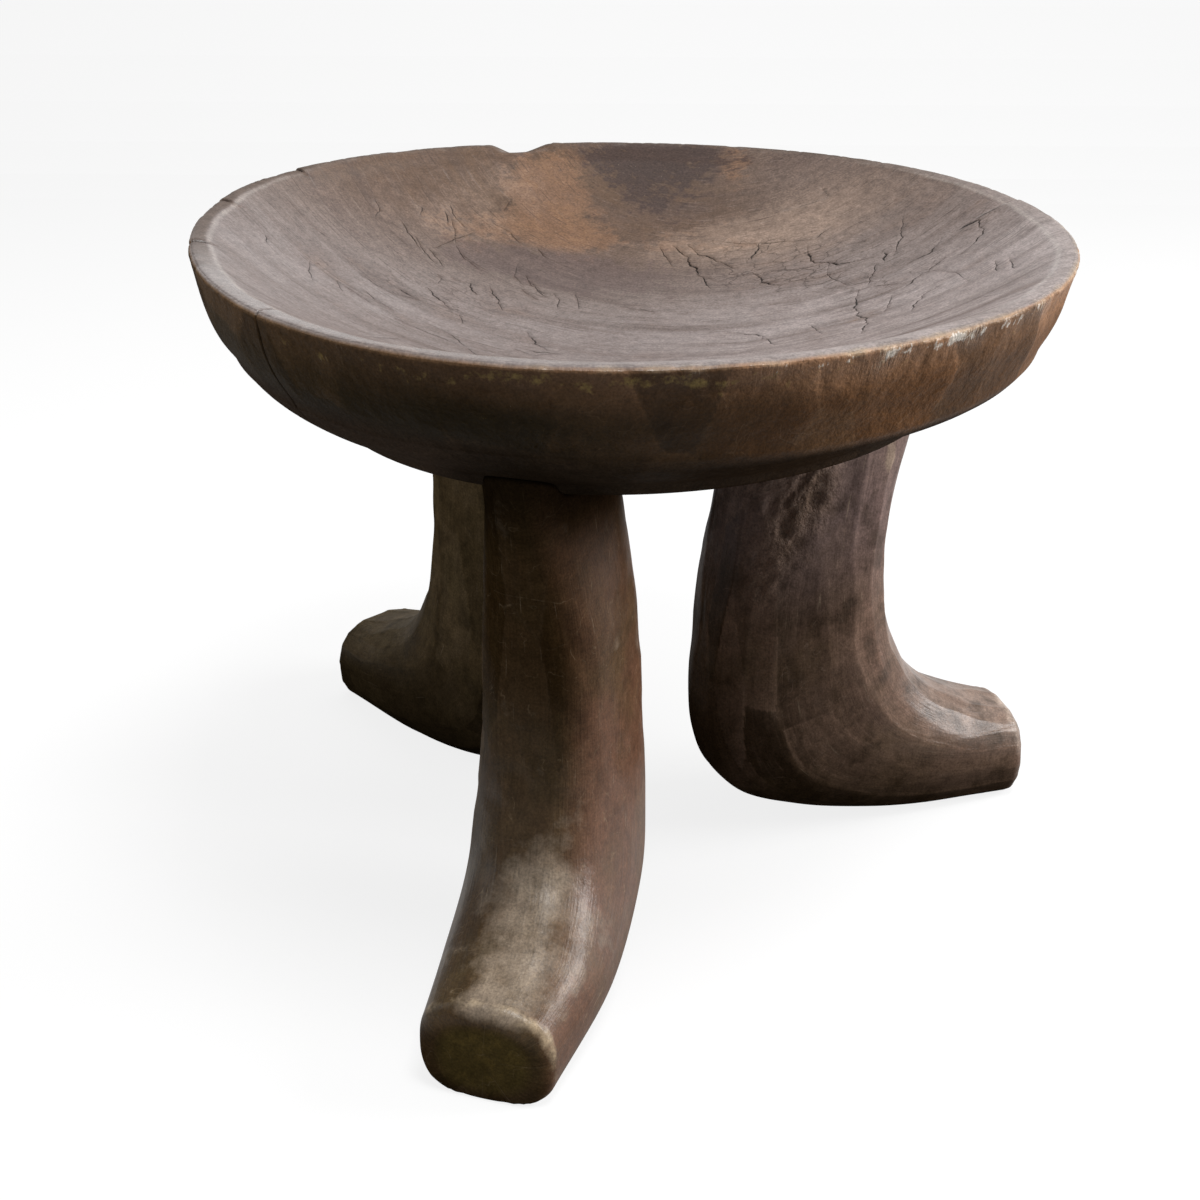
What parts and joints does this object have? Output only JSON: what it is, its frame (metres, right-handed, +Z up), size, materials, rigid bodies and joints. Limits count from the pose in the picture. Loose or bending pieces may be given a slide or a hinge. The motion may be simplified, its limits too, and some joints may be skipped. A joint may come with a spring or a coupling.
{
  "type": "three-legged stool",
  "caption": "Low carved wooden stool with a round dished seat on thick boot-shaped legs whose toes turn outwards, for sitting close to the ground.",
  "frame": {"origin": "on the floor, under the middle of the whole stool's plan", "axes": "+Z up; +X to the right and +Y away from the viewer, as the stool stands in the picture"},
  "size_m": [0.4082, 0.417, 0.323],
  "materials": {
    "seat_bowl": "old dark hardwood, worn to a low sheen",
    "front_leg": "old dark hardwood, worn to a low sheen",
    "right_leg": "old dark hardwood, worn to a low sheen",
    "left_leg": "old dark hardwood, worn to a low sheen"
  },
  "bodies": {
    "root": {"seat_bowl": "seat_bowl", "front_leg": "front_leg", "right_leg": "right_leg", "left_leg": "left_leg"}
  },
  "joints": []
}
